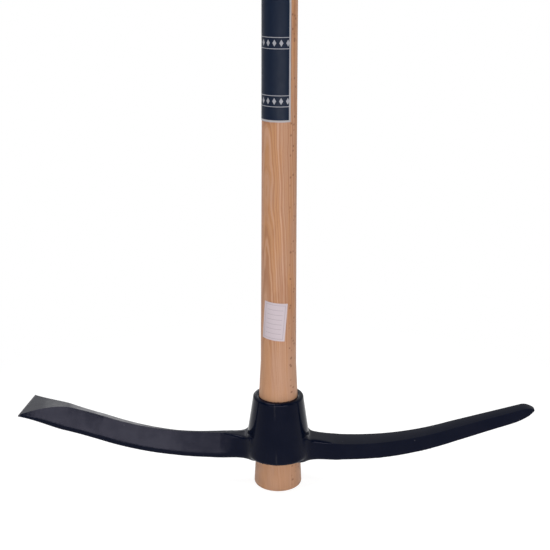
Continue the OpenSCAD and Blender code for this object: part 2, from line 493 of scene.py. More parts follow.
@dataclass(frozen=True)
class Wood:
    """Sanded and waxed pale hardwood, sawn so that its left side shows the flat grain."""

    plain: Colour = (0.401, 0.213, 0.124)
    tan: Colour = (0.425, 0.207, 0.092)
    pale: Colour = (0.490, 0.287, 0.190)
    brown: Colour = (0.302, 0.132, 0.066)
    fleck: Colour = (0.170, 0.070, 0.038)
    ring_gap: float = 1.3 * MM
    heart_distance: float = 62 * MM
    heart_bearing: float = math.radians(-42)
    lean: float = 0.030
    calm_heights: Pair = (130 * MM, 185 * MM)
    ray_radius: float = 18 * MM
    ray_gap: Pair = (5.0 * MM, 4.2 * MM)
    ray_bearing: float = math.radians(54)
    ray_facing: Pair = (0.94, 0.975)
    ray_strength: float = 0.75
    wander: float = 7 * MM
    ripple: float = 2.2 * MM
    wander_stretch: Place = (24, 24, 8)
    ripple_stretch: Place = (110, 110, 32)
    broad_stretch: Place = (85, 85, 12)
    blotch_stretch: Place = (70, 70, 26)
    fibre_stretch: Place = (900, 900, 22)
    pore_stretch: Place = (900, 900, 170)
    growth_scale: float = 0.9
    fibre_strength: float = 0.14
    fibre_relief: Pair = (0.12, 0.12 * MM)
    calm_share: float = 0.45
    calm_pale: float = 0.35
    gloss: Pair = (0.46, 0.6)
    shine: float = 0.3

    def ring_count(self, bench: FinishBench, grain: Socket) -> Socket:
        """Returns the number of growth rings between the leaning, wandering heart and a place."""
        across, towards, up = bench.axes(grain)
        wander = bench.minus(bench.streaks(grain, self.wander_stretch), 0.5)
        ripple = bench.minus(bench.streaks(grain, self.ripple_stretch), 0.5)
        drift = bench.plus(bench.times(wander, self.wander), bench.times(ripple, self.ripple))
        leaning = bench.plus(bench.times(up, self.lean), drift)
        deep = bench.plus(bench.plus(towards, self.heart_distance), leaning)
        squares = bench.plus(bench.sums("POWER", deep, 2.0), bench.sums("POWER", across, 2.0))
        return bench.sums("DIVIDE", bench.sums("SQRT", squares), self.ring_gap)

    def ray_flecks(self, bench: FinishBench, place: Socket) -> Socket:
        """Returns the short dark rays that show where the handle is cut towards its heart."""
        across, towards, up = bench.axes(place)
        bearing = bench.sums("ARCTAN2", across, bench.times(towards, -1.0))
        round_way = bench.times(bearing, self.ray_radius / self.ray_gap[0])
        up_way = bench.sums("DIVIDE", up, self.ray_gap[1])
        spot = bench.node("CombineXYZ", {"X": round_way, "Z": up_way})
        rays = bench.cells(spot.outputs[0])
        lone = bench.range(bench.axes(rays.outputs["Color"])[1], 0.25, 0.95)
        near = bench.range(rays.outputs["Distance"], 0.14, 0.40, 1.0, 0.0)
        facing = bench.sums("COSINE", bench.minus(bearing, self.ray_bearing))
        side = bench.range(bench.sums("ABSOLUTE", facing), *self.ray_facing)
        return bench.times(bench.times(lone, near), side)

    def material(self) -> bpy.types.Material:
        """Makes the wood: growth rings about a heart beside the handle, fibres and ray flecks."""
        bench = FinishBench("handle_wood")
        grain = bench.mapped(bench.place(), (1, 1, 1), turn=(0, 0, -self.heart_bearing))
        up = bench.axes(grain)[2]
        growth = bench.line_noise(self.ring_count(bench, grain), self.growth_scale, 2.0)
        broad = bench.range(bench.streaks(grain, self.broad_stretch, 3.0), 0.40, 0.60)
        blotch = bench.range(bench.streaks(grain, self.blotch_stretch), 0.52, 0.68, 0.0, 0.45)
        fibres = bench.range(bench.streaks(grain, self.fibre_stretch, 3.0), 0.3, 0.7)
        calm = bench.range(up, *self.calm_heights, self.calm_share, 1.0)
        tone = bench.mix(broad, self.plain, self.tan)
        tone = bench.mix(bench.times(blotch, calm), tone, self.brown)
        late = bench.times(bench.range(growth, 0.34, 0.50, 0.55, 0.0), calm)
        tone = bench.mix(late, tone, self.brown)
        early = bench.times(bench.range(growth, 0.52, 0.66, 0.0, 0.6), calm)
        tone = bench.mix(early, tone, self.pale)
        tone = bench.mix(bench.range(up, *self.calm_heights, self.calm_pale, 0.0), tone, self.pale)
        tone = bench.mix(bench.times(fibres, self.fibre_strength), tone, self.brown)
        ray = bench.times(self.ray_flecks(bench, bench.place()), self.ray_strength)
        pores = bench.cells(bench.mapped(grain, self.pore_stretch))
        pore = bench.range(pores.outputs["Distance"], 0.08, 0.22, 0.18, 0.0)
        bench.surface(
            Base_Color=bench.mix(bench.sums("MAXIMUM", ray, pore), tone, self.fleck),
            Roughness=bench.range(fibres, 0.0, 1.0, *self.gloss),
            Specular_IOR_Level=self.shine,
            Normal=bench.bump(fibres, *self.fibre_relief))
        return bench.material


@dataclass(frozen=True)
class Film:
    """Satin printed film: a navy ground, a pale border and bands of plain diamonds."""

    width: float
    height: float
    ground: Colour = (0.0050, 0.0105, 0.0260)
    border: Colour = (0.36, 0.345, 0.355)
    ink: Colour = (0.30, 0.30, 0.33)
    border_width: float = 1.9 * MM
    band_heights: tuple[float, ...] = (20 * MM, 74 * MM, 128 * MM)
    band_half: float = 5.2 * MM
    rule_half: float = 0.3 * MM
    diamond_gap: float = 6.5 * MM
    diamond_half: Pair = (1.9 * MM, 3.2 * MM)
    blur: float = 0.12 * MM
    cloud_scale: float = 240.0
    relief: Pair = (0.1, 0.1 * MM)
    gloss: Pair = (0.34, 0.44)
    shine: float = 0.1

    def band(self, bench: FinishBench, right: Socket, rise: Socket, height: float) -> Socket:
        """Returns one printed band: a row of diamonds between two thin rules."""
        off = bench.sums("ABSOLUTE", bench.minus(rise, height))
        from_rule = bench.sums("ABSOLUTE", bench.minus(off, self.band_half))
        rule = bench.below(from_rule, self.rule_half, self.blur)
        within = bench.sums("MODULO", right, self.diamond_gap)
        step = bench.minus(within, self.diamond_gap / 2)
        aside = bench.sums("DIVIDE", bench.sums("ABSOLUTE", step), self.diamond_half[0])
        spread = bench.plus(aside, bench.sums("DIVIDE", off, self.diamond_half[1]))
        diamond = bench.range(spread, 0.95, 1.05, 1.0, 0.0)
        return bench.sums("MAXIMUM", rule, diamond)

    def material(self) -> bpy.types.Material:
        """Makes the film, with its print laid out in metres over the sheet."""
        bench = FinishBench("label_film")
        right, rise, edge = bench.sheet(self.width, self.height)
        rim = bench.below(edge, self.border_width, self.blur)
        tone = self.ground
        for height in self.band_heights:
            tone = bench.mix(self.band(bench, right, rise, height), tone, self.ink)
        cloud = bench.noise(bench.place(), self.cloud_scale, 2.0)
        bench.surface(
            Base_Color=bench.mix(rim, tone, self.border),
            Roughness=bench.range(cloud, 0.3, 0.7, *self.gloss),
            Specular_IOR_Level=self.shine,
            Normal=bench.bump(cloud, *self.relief))
        return bench.material


@dataclass(frozen=True)
class Paper:
    """Matte pinkish-white paper with a plain ruled frame."""

    width: float
    height: float
    ground: Colour = (0.520, 0.448, 0.482)
    rule: Colour = (0.16, 0.14, 0.15)
    frame_inset: float = 2.2 * MM
    line_gap: float = 5.0 * MM
    line_half: float = 0.16 * MM
    blur: float = 0.08 * MM
    fibre_scale: float = 900.0
    fibre_strength: float = 0.10
    ink_strength: float = 0.6
    relief: Pair = (0.1, 0.05 * MM)
    dullness: float = 0.8
    shine: float = 0.2

    def line(self, bench: FinishBench, distance: Socket) -> Socket:
        """Returns a thin printed line where a distance is nothing."""
        return bench.below(bench.sums("ABSOLUTE", distance), self.line_half, self.blur)

    def material(self) -> bpy.types.Material:
        """Makes the paper, with blank ruled lines in a frame."""
        bench = FinishBench("label_paper")
        _, rise, edge = bench.sheet(self.width, self.height)
        step = bench.minus(bench.sums("MODULO", rise, self.line_gap), self.line_gap / 2)
        margin = 2 * self.frame_inset
        inside = bench.range(edge, margin - self.blur, margin + self.blur)
        ruled = bench.times(self.line(bench, step), inside)
        framed = self.line(bench, bench.minus(edge, self.frame_inset))
        fibres = bench.noise(bench.place(), self.fibre_scale, 4.0)
        tone = bench.mix(bench.times(fibres, self.fibre_strength), self.ground, self.rule)
        ink = bench.times(bench.sums("MAXIMUM", ruled, framed), self.ink_strength)
        bench.surface(
            Base_Color=bench.mix(ink, tone, self.rule),
            Roughness=self.dullness,
            Specular_IOR_Level=self.shine,
            Normal=bench.bump(fibres, *self.relief))
        return bench.material


@dataclass(frozen=True)
class PaleFloor:
    """White studio floor that keeps the pick's shadow."""

    lit_share: float = 0.25
    lamp_level: float = 0.45
    lit_radius: float = 0.22
    white_radius: float = 0.5
    bounce: Colour = (0.8, 0.8, 0.8)

    def material(self) -> bpy.types.Material:
        """Makes the floor: lit by lamps about the pick, its own white to the camera further off."""
        bench = FinishBench("pale_floor")
        path = bench.node("LightPath", {})
        seen = bench.sums("MAXIMUM", path.outputs["Is Camera Ray"], path.outputs["Is Glossy Ray"])
        seen = bench.sums("MAXIMUM", seen, path.outputs["Is Transmission Ray"])
        away = bench.node("VectorMath", {0: bench.place()}, operation="LENGTH").outputs["Value"]
        share = bench.range(away, self.lit_radius, self.white_radius, self.lit_share, 0.0)
        lit = bench.node("BsdfDiffuse", {"Color": share}).outputs[0]
        left = bench.minus(1.0, bench.times(share, self.lamp_level))
        own = bench.node("Emission", {"Strength": left}).outputs[0]
        shown = bench.node("AddShader", {0: lit, 1: own}).outputs[0]
        plain = bench.node("BsdfDiffuse", {"Color": self.bounce}).outputs[0]
        mixed = bench.node("MixShader", {0: seen, 1: plain, 2: shown}).outputs[0]
        bench.feed(bench.output.inputs["Surface"], mixed)
        return bench.material


# Shapes shared by the handle, the eye and the labels

@dataclass(frozen=True)
class HandleForm:
    """Sizes of the turned handle."""

    length: float
    grip_radius: float
    butt_radius: float = 25.2 * MM
    neck_radius: float = 20.2 * MM
    neck_height: float = 101 * MM
    taper_top: float = 139 * MM
    grip_start: float = 560 * MM
    sweep_power: float = 2.2
    butt_round: float = 2.7 * MM
    grip_round: float = 9 * MM

    def seat_radius(self, height: float) -> float:
        """Returns the radius of the seat taper at a height."""
        return between(self.butt_radius, self.neck_radius, height / self.neck_height)

    def radius(self, height: float) -> float:
        """Returns the handle's radius at a height."""
        if height <= self.taper_top:
            return self.seat_radius(height)
        left = 1.0 - share_of_way(height, self.taper_top, self.grip_start)
        top = self.seat_radius(self.taper_top)
        return between(self.grip_radius, top, left ** self.sweep_power)


@dataclass
class Handle:
    """The turned hardwood handle."""

    form: HandleForm
    sides: int = 128
    seat_steps: int = 6
    sweep_steps: int = 28
    grip_steps: int = 8
    round_steps: int = 8

    def profile(self) -> list[Pair]:
        """Returns the stations from the butt face to the grip end."""
        form = self.form
        butt = form.butt_round
        grip = form.grip_round
        heights = even_steps(butt, form.taper_top, self.seat_steps)
        heights += even_steps(form.taper_top, form.grip_start, self.sweep_steps)
        heights += even_steps(form.grip_start, form.length - grip, self.grip_steps)
        butt_arc = quarter_arc((form.radius(butt) - butt, butt), butt, -90, 0, self.round_steps)
        grip_arc = quarter_arc(
            (form.grip_radius - grip, form.length - grip), grip, 0, 90, self.round_steps)
        return butt_arc + [(form.radius(height), height) for height in heights] + grip_arc[1:]

    def build(self) -> Piece:
        """Turns the handle and dresses it."""
        handle = turn_piece("turned_handle", self.profile(), self.sides)
        smooth_over(handle)
        handle.data.materials.append(Wood().material())
        hand_over(handle, "handle", Body.HANDLE)
        return handle


# Forged head

@dataclass(frozen=True)
class CollarForm:
    """Sizes of the collar around the eye."""

    handle: HandleForm
    base: float = 35 * MM
    height: float = 66 * MM
    lip_wall: float = 5.8 * MM
    base_wall: float = 12.2 * MM
    lip_round: float = 1.8 * MM
    eye_round: float = 0.6 * MM
    base_round: float = 4 * MM
    eye_clearance: float = 0.15 * MM

    @property
    def top(self) -> float:
        """Height of the lip."""
        return self.base + self.height

    def eye_radius(self, height: float) -> float:
        """Returns the eye's radius at a height."""
        return self.handle.seat_radius(height) + self.eye_clearance

    @property
    def base_radius(self) -> float:
        """Outer radius at the lower edge."""
        return self.eye_radius(self.base) + self.base_wall

    @property
    def slope(self) -> float:
        """Narrowing of the outer cone for each unit of height."""
        return (self.base_radius - self.eye_radius(self.top) - self.lip_wall) / self.height

    def radius(self, height: float) -> float:
        """Returns the radius of the collar's outer cone at a height."""
        return self.base_radius - self.slope * (height - self.base)


@dataclass(frozen=True)
class Station:
    """One cross-section of an arm, square to its mid-line."""

    along: float
    width: float
    above: float
    below: float
    setback: float

    @property
    def depth(self) -> float:
        """Whole depth of the section."""
        return self.above + self.below

    @property
    def centre(self) -> float:
        """Height of the section's middle over the mid-line."""
        return (self.above - self.below) / 2


@dataclass
class Arm:
    """An arm of the head: a bar drawn out from the collar and bent upwards."""

    name: str
    collar: CollarForm
    reach: float
    heading: float
    level_run: float = 78 * MM
    sweep_radius: float = 340 * MM
    rise: float = math.radians(17.7)
    lift: float = 7.5 * MM
    root_width: float = 24 * MM
    root_depth: float = 25.5 * MM
    side_fillet: float = 18 * MM
    top_fillet: float = 4 * MM
    fillet_bury: float = 0.5 * MM
    top_trim: float = 1.0 * MM
    trim_run: Pair = (110 * MM, 190 * MM)
    root_trim: float = 0.16
    root_run: Pair = (36.3 * MM, 62.2 * MM)
    squareness: float = 40.0
    under_squareness: float = 8.0
    corner_segments: int = 20
    root_steps: int = 10
    arm_steps: int = 24
    end_steps: int = 22

    @property
    def sweep_end(self) -> float:
        """Distance from the axis at which the sweep turns straight."""
        return self.level_run + self.sweep_radius * math.sin(self.rise)

    @property
    def mid_height(self) -> float:
        """Height of the level mid-line."""
        return self.collar.base + self.lift

    @property
    def bent_length(self) -> float:
        """Length along the mid-line at which the sweep turns straight."""
        return self.level_run + self.sweep_radius * self.rise

    def length_to(self, out: float) -> float:
        """Returns the length along the mid-line to a distance from the axis."""
        if out <= self.level_run:
            return out
        if out <= self.sweep_end:
            turned = math.asin((out - self.level_run) / self.sweep_radius)
            return self.level_run + self.sweep_radius * turned
        return self.bent_length + (out - self.sweep_end) / math.cos(self.rise)

    def out_at(self, length: float) -> float:
        """Returns the distance from the axis at a length along the mid-line."""
        if length <= self.level_run:
            return length
        if length <= self.bent_length:
            turned = (length - self.level_run) / self.sweep_radius
            return self.level_run + self.sweep_radius * math.sin(turned)
        return self.sweep_end + (length - self.bent_length) * math.cos(self.rise)

    def side_run(self) -> Pair:
        """Returns where the side fillets leave the collar and where they run out along the bar."""
        wall = self.collar.radius(self.mid_height) - self.fillet_bury
        reach = wall + self.side_fillet
        far = math.sqrt(reach ** 2 - (self.root_width / 2 + self.side_fillet) ** 2)
        return far * wall / reach, far

    def top_run(self) -> Pair:
        """Returns where the top fillet leaves the collar and where it runs out along the bar."""
        height = self.mid_height + self.root_depth / 2 + self.top_fillet
        slant = math.hypot(1.0, self.collar.slope)
        far = self.collar.radius(height) - self.fillet_bury + self.top_fillet * slant
        return far - self.top_fillet / slant, far

    @property
    def fillet_start(self) -> float:
        """Distance from the axis at which the first root fillet leaves the collar."""
        return min(self.side_run()[0], self.top_run()[0])

    @property
    def fillet_end(self) -> float:
        """Distance from the axis at which the last root fillet has run out."""
        return max(self.side_run()[1], self.top_run()[1])

    @staticmethod
    def fillet_gain(radius: float, run: Pair, out: float) -> float:
        """Returns how far a root fillet stands off the bar at a distance from the axis."""
        near, far = run
        back = min(far - near, max(0.0, far - out))
        return radius - math.sqrt(radius ** 2 - back ** 2)

    def end_start(self) -> float:
        """Returns the distance from the axis at which the arm's end starts."""
        raise NotImplementedError

    def section(self, out: float) -> tuple[float, float, float]:
        """Returns the width, and the reach above and below the mid-line, of the bare bar."""
        raise NotImplementedError

    def setback(self, out: float) -> float:
        """Returns how far a section's back edge is set behind its front edge."""
        return 0.0

    def finish_bar(self, bar: Piece) -> None:
        """Shapes the drawn bar further before it is bent, where the arm needs it."""

    def trim(self, out: float) -> float:
        """Returns how much lower the top is than the bare bar's, least at the collar."""
        rooted = between(self.root_trim, 1.0, share_of_way(out, *self.root_run))
        return self.top_trim * rooted * (1.0 - share_of_way(out, *self.trim_run))

    def stations(self) -> list[Station]:
        """Returns the cross-sections from the axis to the arm's end."""
        root = self.fillet_start
        places = [0.0, root] + even_steps(root, self.fillet_end, self.root_steps)
        places += even_steps(self.fillet_end, self.end_start(), self.arm_steps)
        places += even_steps(self.end_start(), self.reach, self.end_steps)
        stations = []
        for out in places:
            width, above, below = self.section(out)
            width += 2 * self.fillet_gain(self.side_fillet, self.side_run(), out)
            above += self.fillet_gain(self.top_fillet, self.top_run(), out)
            above -= self.trim(out)
            stations.append(Station(self.length_to(out), width, above, below, self.setback(out)))
        return stations

    def section_face(self) -> Piece:
        """Makes the bar's rounded square section, one unit each way from its middle."""
        start_clean()
        bpy.ops.mesh.primitive_plane_add(size=2, rotation=(0, math.radians(90), 0))
        face = added(self.name)
        fix_place(face)
        with shaping(face):
            for side, squareness in ((1, self.squareness), (-1, self.under_squareness)):
                choose(
                    face, Part.CORNERS,
                    lambda at, side=side: side * at.y > 0.99 and abs(at.z) > 0.99)
                bpy.ops.mesh.bevel(
                    offset=0.9999, offset_type="OFFSET", segments=self.corner_segments,
                    profile=2 ** (-2 / squareness), affect="VERTICES", clamp_overlap=False)
            bpy.ops.mesh.select_all(action="SELECT")
            bpy.ops.mesh.remove_doubles(threshold=0.001)
        return face

    def draw_out(self, bar: Piece, stations: list[Station]) -> None:
        """Draws the section out along the bar, with the start of the bend at the origin."""
        first = stations[0]
        with shaping(bar):
            bpy.ops.transform.resize(
                value=(1, first.depth / 2, first.width / 2), center_override=(0, 0, 0))
            bpy.ops.transform.translate(value=(first.along - self.level_run, first.centre, 0))
            for here, there in zip(stations, stations[1:]):
                step = (there.along - here.along, there.centre - here.centre, 0)
                bpy.ops.mesh.extrude_region_move(TRANSFORM_OT_translate={"value": step})
                bpy.ops.transform.resize(
                    value=(1, there.depth / here.depth, there.width / here.width),
                    center_override=(there.along - self.level_run, there.centre, 0))
                if there.setback > here.setback:
                    bpy.ops.transform.rotate(
                        value=(there.setback - here.setback) / there.width, orient_axis="Y",
                        center_override=(there.along - self.level_run, 0, -there.width / 2))
        face_outwards(bar)

    def build(self) -> Piece:
        """Draws the bar out, bends it upwards and sets it in its place."""
        stations = self.stations()
        bar = self.section_face()
        self.draw_out(bar, stations)
        self.finish_bar(bar)
        whole = stations[-1].along
        apply_modifier(
            bar, "SIMPLE_DEFORM", deform_method="BEND", deform_axis="Z", angle=self.rise,
            limits=(self.level_run / whole, self.bent_length / whole))
        bar.rotation_euler = (math.radians(90), 0, self.heading)
        out = Matrix.Rotation(self.heading, 3, "Z") @ Vector((self.level_run, 0, 0))
        bar.location = (out.x, out.y, self.mid_height)
        fix_place(bar)
        return bar


@dataclass
class ChiselArm(Arm):
    """The arm that spreads and thins to a broad edge across the handle."""

    under_squareness: float = 5.0
    edge_width: float = 57 * MM
    edge_thickness: float = 2 * MM
    edge_skew: float = 5 * MM
    bevel_length: float = 44 * MM
    spread_length: float = 80 * MM
    waist_width: float = 16.5 * MM
    waist_start: float = 110 * MM
    waist_gain: float = 1.8 * MM
    waist_depth: float = 23 * MM
    waist_lean: float = math.radians(11)
    edge_lean: float = math.radians(24)
    lean_crest: float = 0.25
    under_trim: float = 0.03
    twist: float = math.radians(6)
    lean_run: Pair = (22 * MM, 62 * MM)
    twist_run: float = 110 * MM
    thin_power: float = 1.45
    spread_power: float = 2.0

    @property
    def bevel_start(self) -> float:
        """Distance from the axis at which the bevels start."""
        return self.reach - self.bevel_length

    def end_start(self) -> float:
        """Returns the distance from the axis at which the arm starts to spread."""
        return self.reach - self.spread_length

    @property
    def twist_end(self) -> float:
        """Length along the mid-line at which the twist ends."""
        return self.level_run + self.twist_run

    def lean_share(self, out: float) -> float:
        """Returns how far the lean has come in at a distance from the axis."""
        return eased(share_of_way(out, *self.lean_run))

    def rough_section(self, out: float) -> tuple[float, float, float]:
        """Returns the underside's width and the reach above and below it."""
        bevel = share_of_way(out, self.bevel_start, self.reach) ** self.thin_power
        spread = share_of_way(out, self.end_start(), self.reach) ** self.spread_power
        thinned = share_of_way(out, self.fillet_end, self.bevel_start)
        narrowed = share_of_way(out, self.fillet_end, self.waist_start)
        depth = between(self.root_depth, self.waist_depth, thinned)
        waist = between(self.root_width, self.waist_width, narrowed)
        waist += self.waist_gain * share_of_way(out, self.waist_start, self.end_start())
        half = between(depth, self.edge_thickness, bevel) / 2
        above = half * (1 + self.lean_crest * self.lean_share(out))
        return between(waist, self.edge_width, spread), above, half * (1 - self.under_trim)

    def lean(self, out: float) -> float:
        """Returns the share of the underside's width that the leaning sides lose up to the top."""
        width, above, below = self.rough_section(out)
        spread = share_of_way(out, self.end_start(), self.reach)
        angle = between(self.waist_lean, self.edge_lean, spread)
        angle += self.twist * (1.0 - share_of_way(out, self.level_run, self.twist_end))
        return 2 * math.tan(angle) * (above + below) / width * self.lean_share(out)

    def lean_slope(self, out: float) -> float:
        """Returns the share of the mid-line's width that the sides lose for each unit of height."""
        _, above, below = self.rough_section(out)
        return self.lean(out) / (above + below - self.lean(out) * below)

    @cached_property
    def steepest_lean(self) -> float:
        """The largest share of width that the sides lose for each unit of height."""
        return max(self.lean_slope(out) for out in even_steps(0.0, self.reach, self.arm_steps))

    def section(self, out: float) -> tuple[float, float, float]:
        """Returns the bar's width at its mid-line and its reach above and below."""
        width, above, below = self.rough_section(out)
        return width * (1 - self.lean(out) * below / (above + below)), above, below

    def setback(self, out: float) -> float:
        """Returns how far the back of the skewed edge is set behind its front."""
        return self.edge_skew * share_of_way(out, self.bevel_start, self.reach)

    def lean_weight(self, at: Vector) -> float:
        """Returns how strongly the taper leans the sides at a place, 1 at the steepest."""
        out = min(self.reach, self.out_at(at.x + self.level_run))
        return self.lean_slope(out) / self.steepest_lean

    def twist_weight(self, at: Vector) -> float:
        """Returns how much of the twist is left at a place on the bar, none at its edge."""
        return 1.0 - share_of_way(self.out_at(at.x + self.level_run), self.end_start(), self.reach)

    def finish_bar(self, bar: Piece) -> None:
        """Leans the bar's sides in from the underside to the top, and twists the bar a little."""
        apply_weighted(
            bar, "SIMPLE_DEFORM", self.lean_weight, deform_method="TAPER", deform_axis="Y",
            lock_x=True, factor=-self.steepest_lean * bar.dimensions.y)
        whole = self.length_to(self.reach)
        apply_weighted(
            bar, "SIMPLE_DEFORM", self.twist_weight, deform_method="TWIST", deform_axis="X",
            angle=self.twist, limits=(self.level_run / whole, self.twist_end / whole))


@dataclass
class PointArm(Arm):
    """The arm that tapers to a short blunt point."""

    tip_length: float = 12 * MM
    tip_under_length: float = 26 * MM
    tip_width: float = 12.5 * MM
    tip_depth: float = 15 * MM
    tip_end: float = 4 * MM
    tip_power: float = 2.2
    top_trim: float = 4.2 * MM
    trim_run: Pair = (66 * MM, 185 * MM)
    under_lift: float = 1.5 * MM
    lift_run: Pair = (120 * MM, 190 * MM)
    crown_fall: float = math.radians(8)
    crown_run: Pair = (40 * MM, 70 * MM)

    @property
    def crown_depth(self) -> float:
        """Most that the crowned top falls from its back edge to its front edge."""
        return math.tan(self.crown_fall) * self.root_width / 2

    def crown_weight(self, at: Vector) -> float:
        """Returns how far the crowned top falls at a place on the bar, 1 for the most."""
        out = min(self.reach, self.out_at(at.x + self.level_run))
        width, above, _ = self.section(out)
        forward = share_of_way(at.z, -width / 2, width / 2) ** 2 * width / self.root_width
        return forward * share_of_way(at.y, 0.0, above) * share_of_way(out, *self.crown_run)

    def finish_bar(self, bar: Piece) -> None:
        """Crowns the bar's top, which falls more and more towards its front edge."""
        apply_weighted(
            bar, "DISPLACE", self.crown_weight, direction="Y", strength=-self.crown_depth,
            mid_level=0.0)

    def end_start(self) -> float:
        """Returns the distance from the axis at which the underside starts to taper."""
        return self.reach - self.tip_under_length

    def section(self, out: float) -> tuple[float, float, float]:
        """Returns the bar's width and reach above and below, tapering to the tip."""
        tip_start = self.reach - self.tip_length
        taper = share_of_way(out, self.fillet_end, tip_start)
        tip = share_of_way(out, tip_start, self.reach) ** self.tip_power
        under = share_of_way(out, self.end_start(), self.reach) ** self.tip_power
        depth = between(self.root_depth, self.tip_depth, taper)
        width = between(between(self.root_width, self.tip_width, taper), self.tip_end, tip)
        above = between(depth, self.tip_end, tip) / 2
        below = between(depth, self.tip_end, under) / 2
        return width, above, below - self.under_lift * share_of_way(out, *self.lift_run)


@dataclass
class Head:
    """The forged head: collar, chisel arm and point arm in one piece."""

    collar: CollarForm
    chisel: ChiselArm
    point: PointArm
    sides: int = 160
    skin_depth: int = 9
    seam_places: Pair = (-1.0 * MM, -3.6 * MM)
    crisp_run: Pair = (44 * MM, 60 * MM)
    seam_half: float = 1.1 * MM
    seam_rise: float = 0.35 * MM
    seam_upper: Pair = (0.72, 0.86)
    seam_lower: Pair = (0.14, 0.26)
    # Share of the lighter paint on the parting line: a painted highlight, with a little wear.
    seam_wear_and_highlight: float = 0.2
    # Band along the cutting edge that is painted lighter: worn paint and a painted highlight.
    worn_and_highlight_run: Pair = (1.0 * MM, 2.2 * MM)
    junction_inset: float = 4 * MM
    junction_onset: float = 10 * MM
    junction_reach: float = 22 * MM
    junction_fade: float = 14 * MM
    junction_heights: Pair = (46 * MM, 60 * MM)
    junction_rounds: int = 80
    blunt_rounds: int = 2
    rim_segments: int = 6
    overrun: float = 8 * MM
    crease: float = math.radians(38)

    def collar_blank(self) -> Piece:
        """Makes the collar as a solid cone with its two rims rounded."""
        form = self.collar
        start_clean()
        bpy.ops.mesh.primitive_cone_add(
            vertices=self.sides, radius1=form.radius(form.base), radius2=form.radius(form.top),
            depth=form.height, location=(0, 0, form.base + form.height / 2))
        blank = added("forged_head")
        fix_place(blank)
        with shaping(blank):
            for rim, rounding in ((form.top, form.lip_round), (form.base, form.base_round)):
                choose(blank, Part.EDGES, lambda at, rim=rim: abs(at.z - rim) < 0.01 * MM)
                bpy.ops.mesh.bevel(
                    offset=rounding, segments=self.rim_segments, profile=0.5, affect="EDGES")
        return blank

    def eye_punch(self) -> Piece:
        """Makes the punch that opens the eye and rounds the inside of its lip."""
        form = self.collar
        low = form.base - 2 * self.overrun
        mouth = form.top - form.eye_round
        centre = (form.eye_radius(mouth) + form.eye_round, mouth)
        arc = quarter_arc(centre, form.eye_round, 180, 90, self.rim_segments)
        profile = [(form.eye_radius(low), low)] + arc + [(arc[-1][0], form.top + self.overrun)]
        return turn_piece("eye_punch", profile, self.sides)

    def junction_weight(self, at: Vector) -> float:
        """Returns how much a place is softened: most where the arms leave the collar."""
        start = self.collar.radius(at.z) - self.junction_inset
        end = self.collar.radius(self.collar.base) + self.junction_reach
        out = abs(at.x)
        rise = share_of_way(out, start - self.junction_onset, start)
        fall = 1.0 - share_of_way(out, end - self.junction_fade, end)
        low = 1.0 - share_of_way(at.z, *self.junction_heights)
        return rise * fall * low

    def blunt_weight(self, at: Vector) -> float:
        """Returns how much a place is eased: the collar wholly, the crisp arms not at all."""
        return 1.0 - share_of_way(abs(at.x), *self.crisp_run)

    def seam_weight(self, at: Vector) -> float:
        """Returns how far the parting line stands proud at a place, by both rims."""
        form = self.collar
        share = share_of_way(at.z, form.base, form.top)
        aside = abs(at.x - between(*self.seam_places, share))
        line = 1.0 - share_of_way(aside, 0.0, self.seam_half)
        upper = share_of_way(share, *self.seam_upper)
        ends = max(upper, 1.0 - share_of_way(share, *self.seam_lower))
        outside = math.hypot(at.x, at.y) > form.radius(at.z) - form.lip_round
        return line * ends if outside else 0.0

    def worn_and_highlight_share(self, at: Vector) -> float:
        """Returns how much lighter the paint is at a place: worn paint and a painted highlight
        along the cutting edge, and a painted highlight with a little wear along the parting line.
        """
        arm = self.chisel
        across = share_of_way(at.y, -arm.edge_width / 2, arm.edge_width / 2)
        inside = arm.reach - arm.edge_skew * across + at.x
        edge = 1.0 - share_of_way(inside, *self.worn_and_highlight_run)
        # The parting line is painted lighter as a highlight along the raised seam, with a little
        # wear.
        return max(edge, self.seam_wear_and_highlight * self.seam_weight(at))

    def build(self) -> Piece:
        """Forges the head in one skin, punches its eye and dresses it."""
        head = self.collar_blank()
        join_solid(head, self.chisel.build(), "UNION")
        join_solid(head, self.point.build(), "UNION")
        join_solid(head, self.eye_punch(), "DIFFERENCE")
        apply_modifier(
            head, "REMESH", mode="SHARP", octree_depth=self.skin_depth, scale=0.99, sharpness=1.0,
            use_remove_disconnected=False)
        softened = ((self.blunt_weight, self.blunt_rounds),
                    (self.junction_weight, self.junction_rounds))
        for weight, rounds in softened:
            apply_weighted(head, "SMOOTH", weight, factor=0.5, iterations=rounds)
        apply_weighted(
            head, "DISPLACE", self.seam_weight, direction="NORMAL", strength=self.seam_rise,
            mid_level=0.0)
        # Bakes where the paint is painted lighter: worn paint and a painted highlight along the
        # cutting edge and the parting line.
        wear_and_highlight = head.data.attributes.new(WORN_AND_HIGHLIGHT, "FLOAT", "POINT")
        shares = [self.worn_and_highlight_share(corner.co) for corner in head.data.vertices]
        wear_and_highlight.data.foreach_set("value", shares)
        smooth_over(head, self.crease)
        head.data.materials.clear()
        head.data.materials.append(Paint().material())
        hand_over(head, "pick_head", Body.HEAD)
        return head


# Labels

WRAP_WIDTH = 52 * MM
WRAP_EDGE = math.radians(38.5)
STOCK_SIZE = (25 * MM, 40 * MM)
STOCK_BEARING = math.radians(-14.3)
STOCK_TILT = math.radians(5)
STOCK_GRID = (40, 60)


